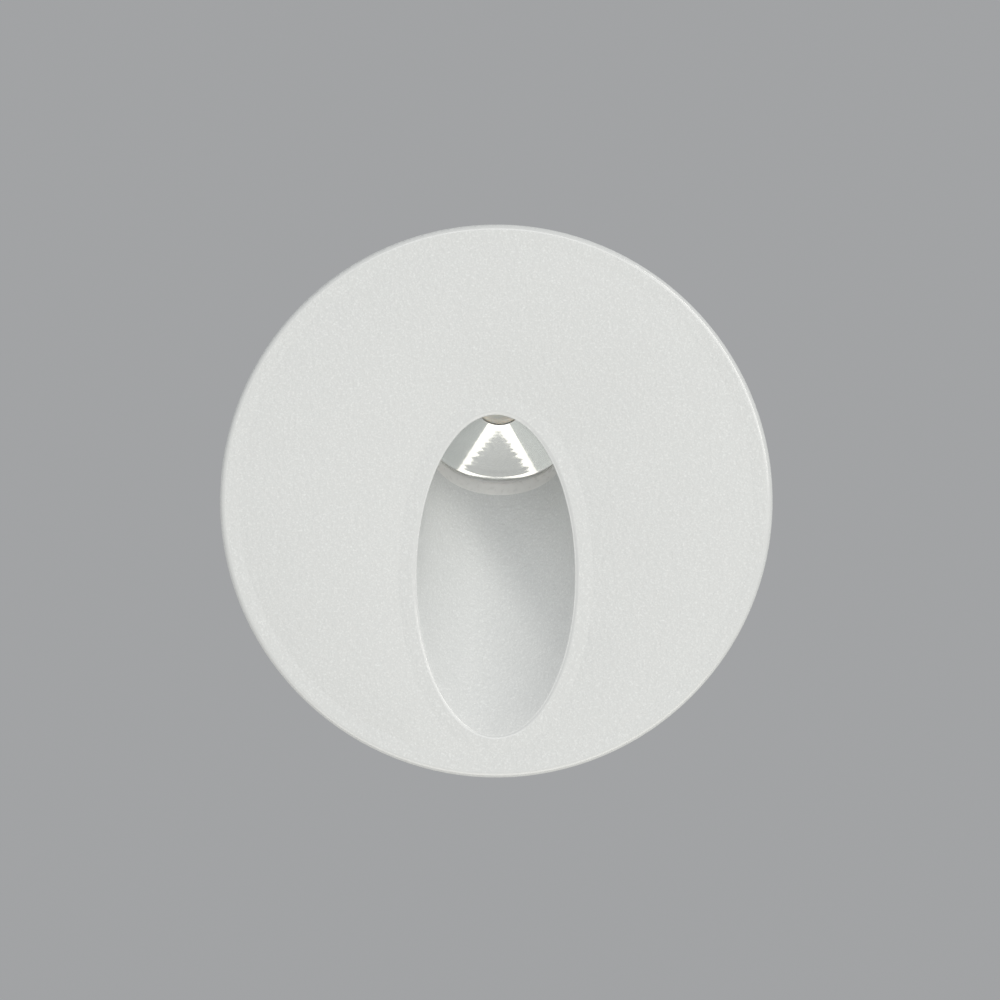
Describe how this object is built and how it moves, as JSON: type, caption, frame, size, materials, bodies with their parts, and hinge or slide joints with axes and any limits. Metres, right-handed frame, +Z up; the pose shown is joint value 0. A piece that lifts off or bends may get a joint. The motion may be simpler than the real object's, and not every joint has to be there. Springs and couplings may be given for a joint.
{
  "type": "recessed wall light",
  "caption": "Round recessed wall light: a flat painted face plate with a slanting scoop lit by a small LED lamp behind glass, a sealed can with driver and cable gland, and sprung wall clips.",
  "frame": {"origin": "centre of the plate's gasket face, which lies on the wall's face", "axes": "+Y goes into the wall, +Z is up, +X is to the right as seen from the room"},
  "size_m": [0.08, 0.0593, 0.08],
  "materials": {
    "plate_paint": "fine-texture powder coat on die-cast aluminium",
    "foam": "closed-cell foam rubber",
    "lens_glass": "clear tempered glass with a ground edge",
    "silicone": "translucent silicone rubber",
    "polished_aluminium": "turned and polished aluminium",
    "led_ceramic": "matt white ceramic",
    "led_silicone": "clear silicone over warm-white phosphor",
    "led_board_face": "white solder mask on an aluminium core",
    "screw_steel": "zinc-plated steel",
    "thermal_silicone": "filled silicone sheet",
    "bare_aluminium": "machined extrusion",
    "housing_nylon": "glass-filled nylon, lightly sparked",
    "black_rubber": "moulded rubber",
    "circuit_board": "glass-epoxy laminate with solder mask",
    "capacitor_sleeve": "shrunk sleeve on an aluminium can",
    "ferrite": "pressed ferrite",
    "black_epoxy": "moulded epoxy",
    "fuse_body": "lacquered ceramic rod",
    "terminal_nylon": "moulded nylon",
    "plated_brass": "nickel-plated brass",
    "gland_nylon": "moulded nylon",
    "red_wire": "insulated wire",
    "black_wire": "insulated wire",
    "clip_steel": "stamped stainless steel",
    "clip_rubber": "moulded rubber",
    "pin_steel": "turned stainless steel",
    "spring_steel": "drawn spring wire"
  },
  "bodies": {
    "fixture": {"face_plate": "plate_paint", "wall_gasket": "foam", "lens": "lens_glass", "lens_seal": "silicone", "reflector": "polished_aluminium", "led_base": "led_ceramic", "led_dome": "led_silicone", "led_board": "led_board_face", "led_board_screws": "screw_steel", "thermal_pad": "thermal_silicone", "heat_sink": "bare_aluminium", "heat_sink_screws": "screw_steel", "rear_housing": "housing_nylon", "housing_seal": "black_rubber", "housing_screws": "screw_steel", "driver_board": "circuit_board", "driver_board_screws": "screw_steel", "driver_capacitor": "capacitor_sleeve", "driver_inductor": "ferrite", "driver_rectifier": "black_epoxy", "driver_chip": "black_epoxy", "driver_fuse": "fuse_body", "terminal_block": "terminal_nylon", "terminal_clamps": "plated_brass", "terminal_screws": "screw_steel", "gland_washer": "black_rubber", "gland_body": "gland_nylon", "gland_locknut": "gland_nylon", "gland_seal": "black_rubber", "gland_nut": "gland_nylon", "led_wire_red": "red_wire", "led_wire_black": "black_wire", "clip_pin_right": "pin_steel", "clip_pin_left": "pin_steel", "clip_spring_right": "spring_steel", "clip_spring_left": "spring_steel"},
    "right_clip": {"clip_lever_right": "clip_steel", "clip_pad_right": "clip_rubber"},
    "left_clip": {"clip_lever_left": "clip_steel", "clip_pad_left": "clip_rubber"}
  },
  "joints": [
    {"name": "right_clip_hinge", "type": "hinge", "parent": "fixture", "child": "right_clip", "pos_m": [0.0305, 0.02, 0], "axis": [0, 0, 1], "range_deg": [0, 150], "stiffness_Nm_per_rad": 0.004, "springref_deg": -34.38, "deforming": ["clip_spring_right"]},
    {"name": "left_clip_hinge", "type": "hinge", "parent": "fixture", "child": "left_clip", "pos_m": [-0.0305, 0.02, 0], "axis": [0, 0, -1], "range_deg": [0, 150], "stiffness_Nm_per_rad": 0.004, "springref_deg": -34.38, "deforming": ["clip_spring_left"]}
  ]
}
